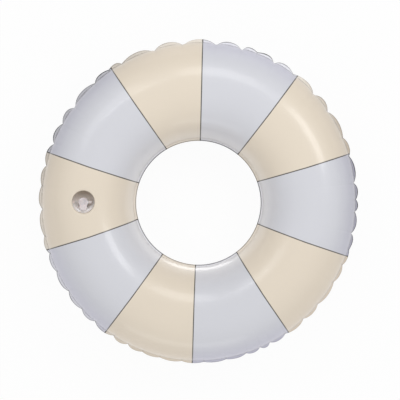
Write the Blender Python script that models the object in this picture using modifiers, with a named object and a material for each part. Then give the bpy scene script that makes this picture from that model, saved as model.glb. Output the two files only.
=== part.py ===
"""Child's inflatable swim ring with a push-in safety valve.

Two flat rings of thin printed vinyl are welded together round both edges, and air makes the tube.
The outer edge is too long for the blown-up ring, so it gathers into lobes with a pleat between each two.
The ring lies flat: its axis is +Z, its lowest point is at z = 0, and the valve is on -X.
Lengths are in metres.
"""
from math import cos, pi, radians, sin

import bmesh
import bpy
import numpy as np
from mathutils import Matrix, Vector

# Ring
OUTER_RADIUS = 0.2500       # welded outer edge, at the tops of its lobes
OUTER_WELD = 0.0045         # width of the welded band round the outside
HOLE_RADIUS = 0.0962        # clear hole, inside the inner welded band
INNER_WELD = 0.0030         # width of the welded band round the hole
FILM = 0.0003               # vinyl film thickness
WELD_GAP = 0.0003           # clearance between the two films in the welds
SECTION_POWER = 1.4         # 1 gives a round tube section, 2 the flattest one that pressure can hold
FOOT_FLAT = 0.0005          # how far the underside is pressed flat where the ring rests

# Gathered outer edge: where each pleat is, in degrees round from +X, and how deep its notch is
PLEATS = (
    (1, 0.0026), (7, 0.0054), (17, 0.0050), (24, 0.0056), (35, 0.0064), (43, 0.0076),
    (53.5, 0.0050), (61.5, 0.0073), (68.5, 0.0024), (74, 0.0070), (83.5, 0.0074), (95.5, 0.0076),
    (106.5, 0.0080), (119, 0.0053), (124, 0.0028), (131, 0.0051), (142.5, 0.0079), (150, 0.0045),
    (158, 0.0057), (166.5, 0.0048), (174, 0.0024), (182.5, 0.0039), (192.5, 0.0035), (199, 0.0040),
    (206, 0.0034), (214.5, 0.0050), (222.5, 0.0034), (229, 0.0037), (237.5, 0.0033), (243.5, 0.0040),
    (249.5, 0.0026), (256, 0.0024), (264, 0.0028), (272, 0.0022), (280, 0.0025), (287.5, 0.0040),
    (293, 0.0038), (297, 0.0038), (303.5, 0.0028), (312, 0.0050), (319.5, 0.0050), (329.5, 0.0034),
    (336.5, 0.0036), (342.5, 0.0026), (348.5, 0.0053), (356.5, 0.0040),
)
FOLD_SHARE = 0.6            # share of a notch that is welded band folded away; the rest is film drawn in
FOLD_MOST = 0.9             # share of the band's width that can fold away
FOLD_POWER = 2.5            # 2 folds the band as roundly as the film, more keeps it wide nearer to a pleat
PLEAT_REACH = 0.0160        # distance up the tube in which a pleat fades to a third
PLEAT_ROWS = (0, 0.45, 1.2, 2.3)   # rows of points over the pleats, in reaches from the weld
WELD_RIPPLE = 0.0012        # how far the lobes of the welded edge stand up and down by turns

# Printed fields
FIELD_PAIRS = 5
FIELD_TURN = radians(-1.1)  # how far the print is turned from the valve
LAVENDER = (209, 210, 216)
CREAM = (226, 214, 196)
FILM_ROUGHNESS = 0.32

# Valve pocket in the front film
VALVE_ANGLE = radians(180)
FLANGE_MARGIN = 0.0004      # width round the flange in which the film has the flange's own facets
CUT_MARGIN = 0.0016         # width round that in which the tube's own points are cleared away
POCKET_RADIUS = 0.0168      # edge of the hole in the film
LIP_RADIUS = 0.0055         # rounding of the film into the pocket
LIP_TURN = radians(80)      # how far round the film follows it

# Valve pieces
FLANGE_RADIUS = 0.0260
BASE_WALL = 0.0008
BASE_TAIL = 0.0020          # straight end of the base below the film's edge
SKIRT_WALL = 0.0006
SKIRT_DEPTH = 0.0075
STEM_RADIUS = 0.0056
STEM_WALL = 0.0021
STEM_SUNK = 0.0048          # depth of the stem's rim below the crest of the tube when pushed in
RIM_OVERHANG = 0.0008
RIM_HEIGHT = 0.0014
ROOT_RING_WIDTH = 0.0020    # how far the root ring stands out from the stem
ROOT_RING_HEIGHT = 0.0014
STEM_FOOT = 0.0045          # length of the stem below its root ring
FLAP_THICKNESS = 0.0005
FLAP_LAP = 0.0014           # how far the flap covers the seat round the bore
HEAD_OVERHANG = 0.0009      # how far the plug's head stands out past the rim, to be lifted by
HEAD_HEIGHT = 0.0018
HEAD_CHAMFER = 0.00055
HEAD_DISH = 0.0004          # hollow in the top of the head
DISH_FLOOR = 0.62           # radius of the hollow's floor, in head radii
DISH_EDGE = 0.74            # radius of the hollow's edge, in head radii
PIN_LENGTH = 0.0080
PIN_WALL = 0.0009
PIN_TAPER = 0.0005
TAB_WIDTH = 0.0116
TAB_REACH = 0.0058          # how far the finger tab stands out past the head
TAB_HEIGHT = 0.0009
TAB_ROOT = 0.0032           # how far the tab runs into the edge of the head
TAB_CORNER = 0.0042
STRAP_WIDTH = 0.0040
STRAP_THICKNESS = 0.0011
STRAP_BEND = 0.0032         # middle radius of the strap's loop
STRAP_STRAIGHT = 0.0022     # straight run between the plug's head and the loop
SEAT_GAP = 0.0003           # clearance between pieces that touch
PIN_CLEARANCE = 0.0003      # clearance of the plug's pin in the bore
VINYL = (214, 205, 200)
VALVE_ROUGHNESS = 0.4

# Sizes that follow from others
STEM_BORE = STEM_RADIUS - STEM_WALL
ROOT_RING_RADIUS = STEM_RADIUS + ROOT_RING_WIDTH
PLUG_HEAD_RADIUS = STEM_RADIUS + RIM_OVERHANG + HEAD_OVERHANG

# Facets
RIM_STEPS = 4               # per lobe at the welded edge
SLOPE_STEPS = 2             # per lobe further in
TUBE_STEPS = 60             # round the tube, past the pleats
OUTER_ROWS = 4              # between the pleats and the crest
INNER_ROWS = 4              # between the crest and the hole
TURN_STEPS = 32             # round the valve
ARC_STEPS = 4
TAB_STEPS = 3
SHARP_ANGLE = radians(40)   # edges that turn more than this stay sharp
SECTION_POINTS = 600
HALVINGS = 50               # steps in the search for the crest of the tube


def tube_section():
    """Upper half of the tube's cross-section, from the outer weld inward.

    Pressure on a film with no bending stiffness sets the sine of its slope to
    (r^n - crest^n) / (outer^n - crest^n). The crest radius is found by halving until the film
    that leaves the outer weld comes down exactly onto the inner one.
    Returns arrays of the distance along the film, the radius, the height and the slope.
    """
    power = SECTION_POWER
    outer = OUTER_RADIUS - OUTER_WELD
    inner = HOLE_RADIUS + INNER_WELD
    low, high = inner, outer
    for _ in range(HALVINGS):
        crest = (low + high) / 2
        spread = outer**power - crest**power
        steepest = max(-1.0, (inner**power - crest**power) / spread)
        slope = np.linspace(pi / 2, np.arcsin(steepest), SECTION_POINTS)
        radius = (crest**power + spread * np.sin(slope)) ** (1 / power)
        along = spread / (power * radius ** (power - 1))
        turn = -np.diff(slope)
        climb = np.sin(slope) * along
        height = np.concatenate([[0], np.cumsum((climb[1:] + climb[:-1]) / 2 * turn)])
        if height[-1] < 0:
            high = crest
        else:
            low = crest
    length = np.concatenate([[0], np.cumsum((along[1:] + along[:-1]) / 2 * turn)])
    return length, radius, height, slope


LENGTH, RADIUS, HEIGHT, SLOPE = tube_section()
CREST_LENGTH = float(np.interp(0, -SLOPE, LENGTH))
CREST_RADIUS = float(np.interp(CREST_LENGTH, LENGTH, RADIUS))
FACE_OFFSET = WELD_GAP / 2 + FILM             # outer face of a film above the welds' middle
CREST_HEIGHT = float(HEIGHT.max()) + FACE_OFFSET
MIDDLE = CREST_HEIGHT - FOOT_FLAT             # height of the welds above the floor
MOUTH_HEIGHT = MIDDLE + CREST_HEIGHT
VALVE_PLACE = Matrix.Rotation(VALVE_ANGLE, 4, "Z") @ Matrix.Translation((CREST_RADIUS, 0, MOUTH_HEIGHT))
VALVE_PLACE = VALVE_PLACE @ Matrix.Rotation(pi, 4, "Z")   # the valve's own +X looks at the ring's axis


def colour(rgb):
    """Linear colour of an 8-bit screen colour."""
    return (*[((c / 255 + 0.055) / 1.055) ** 2.4 for c in rgb], 1)


def plain_vinyl(name, rgb, roughness):
    material = bpy.data.materials.new(name)
    material.use_nodes = True
    shader = material.node_tree.nodes["Principled BSDF"]
    shader.inputs["Base Color"].default_value = colour(rgb)
    shader.inputs["Roughness"].default_value = roughness
    shader.inputs["Metallic"].default_value = 0
    material.diffuse_color = colour(rgb)
    return material


def printed_vinyl(name):
    """Film printed in alternating lavender and cream fields round the axis."""
    material = plain_vinyl(name, LAVENDER, FILM_ROUGHNESS)
    tree = material.node_tree
    place = tree.nodes.new("ShaderNodeTexCoord")
    turned_print = tree.nodes.new("ShaderNodeMapping")
    turned_print.inputs["Rotation"].default_value[2] = -pi / 2 / FIELD_PAIRS - FIELD_TURN
    around = tree.nodes.new("ShaderNodeTexGradient")
    around.gradient_type = "RADIAL"
    pairs = tree.nodes.new("ShaderNodeMath")
    pairs.operation = "MULTIPLY"
    pairs.inputs[1].default_value = FIELD_PAIRS
    share = tree.nodes.new("ShaderNodeMath")
    share.operation = "FRACT"
    cream_field = tree.nodes.new("ShaderNodeMath")
    cream_field.operation = "GREATER_THAN"
    cream_field.inputs[1].default_value = 0.5
    ink = tree.nodes.new("ShaderNodeMix")
    ink.data_type = "RGBA"
    ink.inputs["A"].default_value = colour(LAVENDER)
    ink.inputs["B"].default_value = colour(CREAM)
    tree.links.new(place.outputs["Object"], turned_print.inputs["Vector"])
    tree.links.new(turned_print.outputs["Vector"], around.inputs["Vector"])
    tree.links.new(around.outputs["Fac"], pairs.inputs[0])
    tree.links.new(pairs.outputs["Value"], share.inputs[0])
    tree.links.new(share.outputs["Value"], cream_field.inputs[0])
    tree.links.new(cream_field.outputs["Value"], ink.inputs["Factor"])
    tree.links.new(ink.outputs["Result"], tree.nodes["Principled BSDF"].inputs["Base Color"])
    return material


def add(name, data, material, parent=None, group="swim_ring"):
    """Put a mesh or curve in the scene as a named object."""
    piece = bpy.data.objects.new(name, data)
    if material:
        data.materials.append(material)
    piece.parent = parent
    bpy.data.collections[group].objects.link(piece)
    return piece


def shade(mesh):
    mesh.shade_smooth()
    mesh.set_sharp_from_angle(angle=SHARP_ANGLE)


def lobe_at(angle):
    """What the lobes do at an angle in degrees.

    Returns arrays of the depth of the notches there, of the way out from the middle of the lobe,
    which is 1 at a pleat, and of the ripple, which is 1 or -1 in the middle of a lobe by turns.
    """
    edges, depths = np.array(PLEATS, dtype=float).T
    widths = np.diff(edges, append=edges[0] + 360)
    angle = (np.asarray(angle) - edges[0]) % 360 + edges[0]
    lobe = np.searchsorted(edges, angle, side="right") - 1
    across = (angle - edges[lobe]) / widths[lobe]
    depth = (1 - across) * depths[lobe] + across * np.roll(depths, -1)[lobe]
    return depth, np.abs(2 * across - 1), np.sin(pi * across) * (-1.0) ** lobe


def lobe_angles(steps):
    """Angles in degrees with the same number of steps in each lobe, however wide it is."""
    edges = np.array([angle for angle, _ in PLEATS] + [PLEATS[0][0] + 360], dtype=float)
    share = np.arange(len(PLEATS) * steps) / steps
    return np.interp(share, np.arange(len(edges)), edges)


def film_row(distance, angles, side):
    """Points of a film's outer face at one distance along the section, in from the outer weld.

    A negative distance is on the outer welded band, and one past the end is on the inner band.
    Part of each notch is film drawn in, and part is outer band folded away.
    """
    depth, out, ripple = lobe_at(angles)
    fade = np.exp(-max(distance, 0) / PLEAT_REACH)
    folded = np.minimum(depth * FOLD_SHARE, OUTER_WELD * FOLD_MOST)
    drawn = (depth - folded) * out**2 * fade
    slope = np.interp(distance, LENGTH, SLOPE)
    beyond = distance - np.clip(distance, 0, LENGTH[-1])
    if distance < 0:
        beyond = beyond * (1 - out**FOLD_POWER * folded / OUTER_WELD)
    radius = np.interp(distance, LENGTH, RADIUS) - beyond
    height = np.interp(distance, LENGTH, HEIGHT) + FACE_OFFSET
    radius = radius - drawn * np.sin(slope)
    height = height - drawn * np.cos(slope)
    if side < 0:
        height = np.minimum(height, CREST_HEIGHT - FOOT_FLAT)
    turn = np.radians(angles)
    height = MIDDLE + side * height + ripple * WELD_RIPPLE * fade
    return np.stack([radius * np.cos(turn), radius * np.sin(turn), height], axis=1)


def film_rows(side):
    """Rows of points from the outer edge of a film to the edge of the hole."""
    pressed = float(HEIGHT.max()) - FOOT_FLAT
    before = float(np.interp(pressed, HEIGHT[LENGTH < CREST_LENGTH], LENGTH[LENGTH < CREST_LENGTH]))
    falling = LENGTH >= CREST_LENGTH
    after = float(np.interp(-pressed, -HEIGHT[falling], LENGTH[falling]))
    rim = lobe_angles(RIM_STEPS)
    slope = lobe_angles(SLOPE_STEPS)
    even = np.arange(TUBE_STEPS) * 360 / TUBE_STEPS
    pleats = [PLEAT_REACH * share for share in PLEAT_ROWS]
    rows = [(-OUTER_WELD, rim), (pleats[0], rim), (pleats[1], rim), (pleats[2], slope)]
    rows += [(d, even) for d in np.linspace(pleats[3], before, OUTER_ROWS)]
    rows += [(d, even) for d in np.linspace(after, LENGTH[-1], INNER_ROWS + 1)]
    rows += [(LENGTH[-1] + INNER_WELD, even)]
    return [film_row(distance, angles, side) for distance, angles in rows]


def turn_of(place):
    """Angle of a point round the Z axis."""
    return np.arctan2(place.y, place.x)


def join_rings(bm, outer, inner, frame, flip):
    """Fill the strip between two rings of vertices that run the same way round a frame's Z axis.

    The rings may differ in count: each triangle steps along the ring whose next side comes first.
    """
    sides = []
    for ring in (outer, inner):
        turns = np.unwrap([turn_of(frame @ v.co) for v in ring])
        turns = np.append(turns, turns[0] + 2 * pi)
        sides.append((turns[1:] + turns[:-1]) / 2)
    sides[1] -= 2 * pi * round((sides[1][0] - sides[0][0]) / (2 * pi))
    i = j = 0
    while i < len(outer) or j < len(inner):
        a, b = outer[i % len(outer)], inner[j % len(inner)]
        if j == len(inner) or (i < len(outer) and sides[0][i] <= sides[1][j] + 1e-6):
            i += 1
            corners = [a, outer[i % len(outer)], b]
        else:
            j += 1
            corners = [a, inner[j % len(inner)], b]
        bm.faces.new(reversed(corners) if flip else corners)


def lip_centre():
    """Radius from the valve's axis at which the film starts to round into the pocket."""
    return POCKET_RADIUS + LIP_RADIUS * sin(LIP_TURN)


def lip_path(inset):
    """Section of the lip, from its start to its end, at an inset below the film's outer face.

    Each point is a radius, a height, the radius of the film's outer face over it, and how far it
    follows the tube there: wholly at its start and not at its end, which is level.
    """
    rows = []
    for share in np.linspace(0, 1, ARC_STEPS + 1):
        out, up = sin(LIP_TURN * share), cos(LIP_TURN * share)
        reach = LIP_RADIUS - inset
        over = lip_centre() - LIP_RADIUS * out
        follows = 1 - share**2 * (3 - 2 * share)
        rows.append((lip_centre() - reach * out, reach * up - LIP_RADIUS, over, follows))
    return rows


def draped_ring(radius, height, over, follows):
    """A ring of points round the valve's axis that follows the tube's fall from its crest."""
    points = []
    for turn in np.arange(TURN_STEPS) * 2 * pi / TURN_STEPS:
        away = np.hypot(CREST_RADIUS - over * cos(turn), over * sin(turn))
        fall = float(np.interp(-away, -RADIUS, HEIGHT) - HEIGHT.max())
        points.append(Vector((radius * cos(turn), radius * sin(turn), height + follows * fall)))
    return points


def cut_pocket(bm):
    """Open the film round the valve and lead it over the lip into the pocket."""
    to_valve = VALVE_PLACE.inverted()
    edge = FLANGE_RADIUS + FLANGE_MARGIN
    rims = {e for e in bm.edges if e.is_boundary}
    inside = [v for v in bm.verts if Vector((to_valve @ v.co).xy).length < edge + CUT_MARGIN]
    bmesh.ops.delete(bm, geom=inside, context="VERTS")
    around = {}
    for border in [e for e in bm.edges if e.is_boundary and e not in rims]:
        for vertex in border.verts:
            around[vertex] = turn_of(to_valve @ vertex.co) % (2 * pi)
    rings = [sorted(around, key=around.get)]
    for row in [(edge, 0, edge, 1)] + lip_path(0):
        rings.append([bm.verts.new(VALVE_PLACE @ point) for point in draped_ring(*row)])
    for outer, inner in zip(rings, rings[1:]):
        join_rings(bm, outer, inner, to_valve, flip=False)


def film(name, side, material):
    """One film, as a face lofted from its gathered edge to its round hole, with its thickness inside."""
    bm = bmesh.new()
    rings = [[bm.verts.new(point) for point in row] for row in film_rows(side)]
    for outer, inner in zip(rings, rings[1:]):
        join_rings(bm, outer, inner, Matrix.Identity(4), flip=side < 0)
    if side > 0:
        cut_pocket(bm)
    mesh = bpy.data.meshes.new(name)
    bm.to_mesh(mesh)
    bm.free()
    shade(mesh)
    piece = add(name, mesh, material)
    wall = piece.modifiers.new("film thickness", "SOLIDIFY")
    wall.thickness = FILM
    wall.offset = -1
    wall.use_even_offset = True
    return piece


def turned(name, profile, material, parent, closed=True):
    """A piece turned about its own Z axis from points of radius and height, outer side downward."""
    count = len(profile)
    edges = [(k, (k + 1) % count) for k in range(count if closed else count - 1)]
    mesh = bpy.data.meshes.new(name)
    mesh.from_pydata([(r, 0, z) for r, z in profile], edges, [])
    piece = add(name, mesh, material, parent)
    spin = piece.modifiers.new("turn", "SCREW")
    spin.axis = "Z"
    spin.angle = 2 * pi
    spin.steps = spin.render_steps = TURN_STEPS
    spin.use_merge_vertices = True
    spin.merge_threshold = 0.00001
    spin.use_smooth_shade = True
    return piece


def tail_end():
    """Middle of the base's lower end, where the skirt hangs on."""
    inset = FILM + SEAT_GAP + BASE_WALL / 2
    radius, height = lip_path(inset)[-1][:2]
    return radius - BASE_TAIL * cos(LIP_TURN), height - BASE_TAIL * sin(LIP_TURN)


def root_ring_height():
    """Height of the middle of the stem's root ring, which the skirt reaches down to."""
    return tail_end()[1] - SEAT_GAP - SKIRT_DEPTH


def base_face(inset):
    """One face of the base at an inset below the film's outer face: flange, lip and straight tail."""
    rows = [(FLANGE_RADIUS, -inset, FLANGE_RADIUS, 1)] + lip_path(inset)
    radius, height, over, follows = rows[-1]
    rows.append((radius - BASE_TAIL * cos(LIP_TURN), height - BASE_TAIL * sin(LIP_TURN), over, follows))
    return rows


def valve_base(material, parent):
    """Welded flange, rounded mouth and short wall, which lie against the film from inside."""
    near = FILM + SEAT_GAP
    bm = bmesh.new()
    rows = base_face(near + BASE_WALL) + base_face(near)[::-1]
    rings = [[bm.verts.new(point) for point in draped_ring(*row)] for row in rows]
    for one, other in zip(rings, rings[1:] + rings[:1]):
        for k in range(TURN_STEPS):
            after = (k + 1) % TURN_STEPS
            bm.faces.new((one[k], one[after], other[after], other[k]))
    bmesh.ops.recalc_face_normals(bm, faces=bm.faces)
    mesh = bpy.data.meshes.new("valve_base")
    bm.to_mesh(mesh)
    bm.free()
    shade(mesh)
    return add("valve_base", mesh, material, parent)


def valve_skirt(material, parent):
    """Thin web from the base down to the stem, rolled in as a quarter of an ellipse."""
    top_radius, top = tail_end()
    foot_radius = ROOT_RING_RADIUS + SEAT_GAP
    wide = top_radius - foot_radius
    outside, inside = [], []
    for turn in np.linspace(0, pi / 2, 2 * ARC_STEPS + 1):
        middle = Vector((foot_radius + wide * cos(turn), top - SEAT_GAP - SKIRT_DEPTH * sin(turn)))
        square = Vector((cos(turn) / wide, -sin(turn) / SKIRT_DEPTH)).normalized() * SKIRT_WALL / 2
        outside.append(tuple(middle + square))
        inside.append(tuple(middle - square))
    return turned("valve_skirt", outside + inside[::-1], material, parent)


def valve_stem(material, parent):
    """Soft tube with a rim at its mouth and a root ring where the skirt ends."""
    ring = root_ring_height()
    ring_top = ring + ROOT_RING_HEIGHT / 2
    ring_foot = ring - ROOT_RING_HEIGHT / 2
    foot = ring_foot - STEM_FOOT
    rim = STEM_RADIUS + RIM_OVERHANG
    chamfer = RIM_OVERHANG / 2
    profile = [
        (rim - chamfer, -STEM_SUNK),
        (rim, -STEM_SUNK - chamfer),
        (rim, -STEM_SUNK - RIM_HEIGHT),
        (STEM_RADIUS, -STEM_SUNK - RIM_HEIGHT - RIM_OVERHANG),
        (STEM_RADIUS, ring_top),
        (ROOT_RING_RADIUS, ring_top),
        (ROOT_RING_RADIUS, ring_foot),
        (STEM_RADIUS, ring_foot),
        (STEM_RADIUS, foot),
        (STEM_BORE, foot),
        (STEM_BORE, -STEM_SUNK),
    ]
    return turned("valve_stem", profile, material, parent)


def check_flap(material, parent):
    """Thin round flap under the stem's foot. Its origin is on its hinge, at its edge."""
    radius = STEM_BORE + FLAP_LAP
    top = root_ring_height() - ROOT_RING_HEIGHT / 2 - STEM_FOOT - SEAT_GAP
    bm = bmesh.new()
    bmesh.ops.create_cone(
        bm, cap_ends=True, segments=TURN_STEPS, radius1=radius, radius2=radius, depth=FLAP_THICKNESS,
        matrix=Matrix.Translation((radius, 0, -FLAP_THICKNESS / 2)),
    )
    mesh = bpy.data.meshes.new("check_flap")
    bm.to_mesh(mesh)
    bm.free()
    shade(mesh)
    piece = add("check_flap", mesh, material, parent)
    piece.location = (-radius, 0, top)
    return piece


def plug_foot():
    """Height of the underside of the plug's head, just clear of the stem's rim."""
    return -STEM_SUNK + SEAT_GAP


def finger_tab(parent):
    """Rounded lug on the edge of the head, a quarter turn from the strap, joined to the plug."""
    bm = bmesh.new()
    bmesh.ops.create_cube(bm, size=1)
    reach = TAB_ROOT + TAB_REACH
    bmesh.ops.scale(bm, vec=(reach, TAB_WIDTH, TAB_HEIGHT), verts=bm.verts)
    middle = Vector((-PLUG_HEAD_RADIUS - TAB_REACH + reach / 2, 0, plug_foot() + HEAD_HEIGHT / 2))
    bmesh.ops.translate(bm, vec=middle, verts=bm.verts)
    upright = [e for e in bm.edges if abs(e.verts[0].co.z - e.verts[1].co.z) > TAB_HEIGHT / 2]
    corners = [e for e in upright if e.verts[0].co.x < middle.x]
    rounding = {"offset": TAB_CORNER, "segments": TAB_STEPS, "profile": 0.5}
    bmesh.ops.bevel(bm, geom=corners, affect="EDGES", **rounding)
    mesh = bpy.data.meshes.new("finger_tab")
    bm.to_mesh(mesh)
    bm.free()
    piece = add("finger_tab", mesh, None, parent, group="cutters")
    piece.rotation_euler = (0, 0, pi / 2)
    piece.hide_render = True
    piece.display_type = "WIRE"
    return piece


def valve_plug(material, parent):
    """Round head with a shallow dish, a finger tab and a hollow tapered pin."""
    foot = plug_foot()
    top = foot + HEAD_HEIGHT
    edge = HEAD_CHAMFER
    pin = STEM_BORE - PIN_CLEARANCE
    tip = foot - PIN_LENGTH
    profile = [
        (0, top - HEAD_DISH),
        (PLUG_HEAD_RADIUS * DISH_FLOOR, top - HEAD_DISH),
        (PLUG_HEAD_RADIUS * DISH_EDGE, top),
        (PLUG_HEAD_RADIUS - edge, top),
        (PLUG_HEAD_RADIUS, top - edge),
        (PLUG_HEAD_RADIUS, foot + edge),
        (PLUG_HEAD_RADIUS - edge, foot),
        (pin, foot),
        (pin, tip + 2 * PIN_TAPER),
        (pin - PIN_TAPER, tip),
        (pin - PIN_TAPER - PIN_WALL, tip),
        (pin - PIN_WALL, tip + 2 * PIN_TAPER),
        (pin - PIN_WALL, foot + edge),
        (0, foot + edge),
    ]
    piece = turned("valve_plug", profile, material, parent, closed=False)
    join = piece.modifiers.new("finger tab", "BOOLEAN")
    join.operation = "UNION"
    join.solver = "EXACT"
    join.object = finger_tab(parent)
    return piece


def plug_strap(material, parent):
    """Flat strap that leaves the stem, turns back in a half loop and meets the edge of the head."""
    head = plug_foot() + HEAD_HEIGHT / 2
    bend_at = PLUG_HEAD_RADIUS + SEAT_GAP + STRAP_STRAIGHT
    middle = head - STRAP_BEND
    half = STRAP_THICKNESS / 2
    turns = [pi / 2 - pi * k / (3 * ARC_STEPS) for k in range(3 * ARC_STEPS + 1)]
    wide, tight = STRAP_BEND + half, STRAP_BEND - half
    outer = [(bend_at + wide * cos(t), middle + wide * sin(t)) for t in turns]
    inner = [(bend_at + tight * cos(t), middle + tight * sin(t)) for t in turns]
    at_head = PLUG_HEAD_RADIUS + SEAT_GAP
    at_stem = STEM_RADIUS + SEAT_GAP
    outline = [(at_head, head + half)] + outer
    outline += [(at_stem, head - 2 * STRAP_BEND - half), (at_stem, head - 2 * STRAP_BEND + half)]
    outline += inner[::-1] + [(at_head, head - half)]
    curve = bpy.data.curves.new("plug_strap", "CURVE")
    curve.dimensions = "2D"
    curve.fill_mode = "BOTH"
    curve.extrude = STRAP_WIDTH / 2
    spline = curve.splines.new("POLY")
    spline.points.add(len(outline) - 1)
    for point, (x, z) in zip(spline.points, outline):
        point.co = (x, z, 0, 1)
    spline.use_cyclic_u = True
    piece = add("plug_strap", curve, material, parent)
    piece.rotation_euler = (pi / 2, 0, 0)
    return piece


def main():
    for old in list(bpy.data.objects):
        bpy.data.objects.remove(old, do_unlink=True)
    for group in ("swim_ring", "cutters"):
        bpy.context.scene.collection.children.link(bpy.data.collections.new(group))
    film("front_film", 1, printed_vinyl("front print"))
    film("back_film", -1, printed_vinyl("back print"))
    valve_axis = bpy.data.objects.new("valve_axis", None)
    valve_axis.matrix_world = VALVE_PLACE
    bpy.data.collections["swim_ring"].objects.link(valve_axis)
    valve_base(plain_vinyl("base vinyl", VINYL, VALVE_ROUGHNESS), valve_axis)
    valve_skirt(plain_vinyl("skirt vinyl", VINYL, VALVE_ROUGHNESS), valve_axis)
    valve_stem(plain_vinyl("stem vinyl", VINYL, VALVE_ROUGHNESS), valve_axis)
    check_flap(plain_vinyl("flap vinyl", VINYL, VALVE_ROUGHNESS), valve_axis)
    valve_plug(plain_vinyl("plug vinyl", VINYL, VALVE_ROUGHNESS), valve_axis)
    plug_strap(plain_vinyl("strap vinyl", VINYL, VALVE_ROUGHNESS), valve_axis)


main()
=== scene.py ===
from math import cos, pi, radians, sin

import bmesh
import bpy
import numpy as np
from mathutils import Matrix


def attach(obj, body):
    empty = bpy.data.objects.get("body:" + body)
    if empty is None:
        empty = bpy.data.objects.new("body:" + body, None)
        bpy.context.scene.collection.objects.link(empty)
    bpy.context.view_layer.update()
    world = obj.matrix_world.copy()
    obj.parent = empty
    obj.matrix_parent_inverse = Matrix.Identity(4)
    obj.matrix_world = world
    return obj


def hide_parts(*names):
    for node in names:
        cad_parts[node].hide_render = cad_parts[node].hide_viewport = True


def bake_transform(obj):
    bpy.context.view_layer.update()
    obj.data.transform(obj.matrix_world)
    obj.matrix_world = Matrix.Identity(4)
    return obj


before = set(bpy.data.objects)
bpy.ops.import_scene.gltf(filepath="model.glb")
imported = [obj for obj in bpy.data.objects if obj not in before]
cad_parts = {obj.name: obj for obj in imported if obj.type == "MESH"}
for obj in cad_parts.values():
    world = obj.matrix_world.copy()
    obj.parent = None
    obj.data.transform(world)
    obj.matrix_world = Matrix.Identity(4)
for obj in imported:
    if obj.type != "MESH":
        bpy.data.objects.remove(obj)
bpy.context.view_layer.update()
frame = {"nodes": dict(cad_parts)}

print("frame loaded:", ", ".join(frame["nodes"]))


class Wire:
    # A shader socket, for the materials. Sums, products and comparisons with it add their Math nodes.
    def __init__(self, recipe, socket):
        self.recipe = recipe
        self.socket = socket

    def maths(self, operation, *terms):
        return self.recipe.node("ShaderNodeMath", {"operation": operation}, dict(enumerate(terms)))

    def __add__(self, other):
        return self.maths("ADD", self, other)

    def __sub__(self, other):
        return self.maths("SUBTRACT", self, other)

    def __rsub__(self, other):
        return self.maths("SUBTRACT", other, self)

    def __mul__(self, other):
        return self.maths("MULTIPLY", self, other)

    def __truediv__(self, other):
        return self.maths("DIVIDE", self, other)

    def __mod__(self, other):
        return self.maths("FLOORED_MODULO", self, other)

    def __gt__(self, other):
        return self.maths("GREATER_THAN", self, other)

    def __abs__(self):
        return self.maths("ABSOLUTE", self)

    def cosine(self):
        return self.maths("COSINE", self)

    __radd__ = __add__
    __rmul__ = __mul__

    def step(self, low, high):       # 0 below low, 1 above high, and smooth between
        settings = {"interpolation_type": "SMOOTHSTEP"}
        return self.recipe.node("ShaderNodeMapRange", settings, {0: self, 1: low, 2: high})

    def band(self, low, high, blur):       # 1 between low and high, with soft edges
        return self.step(low - blur, low + blur) * (1 - self.step(high - blur, high + blur))


class Graph:
    # A node tree in the making. node() adds any node: its settings first, then its sockets.
    def __init__(self, tree):
        self.tree = tree

    def node(self, kind, settings, sockets, output=0):
        made = self.tree.nodes.new(kind)
        for key, value in settings.items():
            setattr(made, key, value)
        for key, value in sockets.items():
            self.feed(made.inputs[key], value)
        return Wire(self, made.outputs[output])

    def feed(self, socket, value):
        if isinstance(value, Wire):
            self.tree.links.new(value.socket, socket)
        else:
            socket.default_value = value

    def place(self, kind="Object"):
        return self.node("ShaderNodeTexCoord", {}, {}, kind)

    def rays(self, *kinds):       # 1 for light paths of these kinds
        return sum(self.node("ShaderNodeLightPath", {}, {}, f"Is {kind} Ray") for kind in kinds)

    def split(self, vector):
        made = self.tree.nodes.new("ShaderNodeSeparateXYZ")
        self.feed(made.inputs[0], vector)
        return [Wire(self, socket) for socket in made.outputs]

    def along(self, name):       # a number that the mesh holds at each of its points
        return self.node("ShaderNodeAttribute", {"attribute_name": name}, {}, "Fac")

    def noise(self, scale, detail=2.0, roughness=0.5):
        sockets = {"Vector": self.place(), "Scale": scale, "Detail": detail, "Roughness": roughness}
        return self.node("ShaderNodeTexNoise", {}, sockets)

    def mix(self, share, low, high):       # a colour between two colours
        return self.node("ShaderNodeMix", {"data_type": "RGBA"}, {0: share, 6: low, 7: high}, 2)

    def bump(self, height, distance, strength):
        sockets = {"Strength": strength, "Distance": distance, "Height": height}
        return self.node("ShaderNodeBump", {}, sockets)


class Recipe(Graph):
    # A material: set() feeds the sockets of its Principled shader.
    def __init__(self, name, roughness):
        self.material = bpy.data.materials.new(name)
        self.material.use_nodes = True
        super().__init__(self.material.node_tree)
        self.shader = self.tree.nodes["Principled BSDF"]
        self.shader.inputs["Roughness"].default_value = roughness

    def set(self, **sockets):
        for name, value in sockets.items():
            self.feed(self.shader.inputs[name.replace("_", " ")], value)


def ink(red, green, blue):       # an 8-bit screen colour as the shaders want it
    linear = [((c / 255 + 0.055) / 1.055) ** 2.4 for c in (red, green, blue)]
    return (*linear, 1.0)


def quadsBetween(rows, columns, flipped=False):
    # Corner numbers of the quads between each row of points and the next; every row is a closed ring.
    row, column = np.meshgrid(np.arange(rows - 1), np.arange(columns), indexing="ij")
    after = (column + 1) % columns
    corners = [row * columns + column, row * columns + after,
               (row + 1) * columns + after, (row + 1) * columns + column]
    quads = np.stack(corners, axis=-1).reshape(-1, 4)
    return quads[:, ::-1] if flipped else quads


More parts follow.
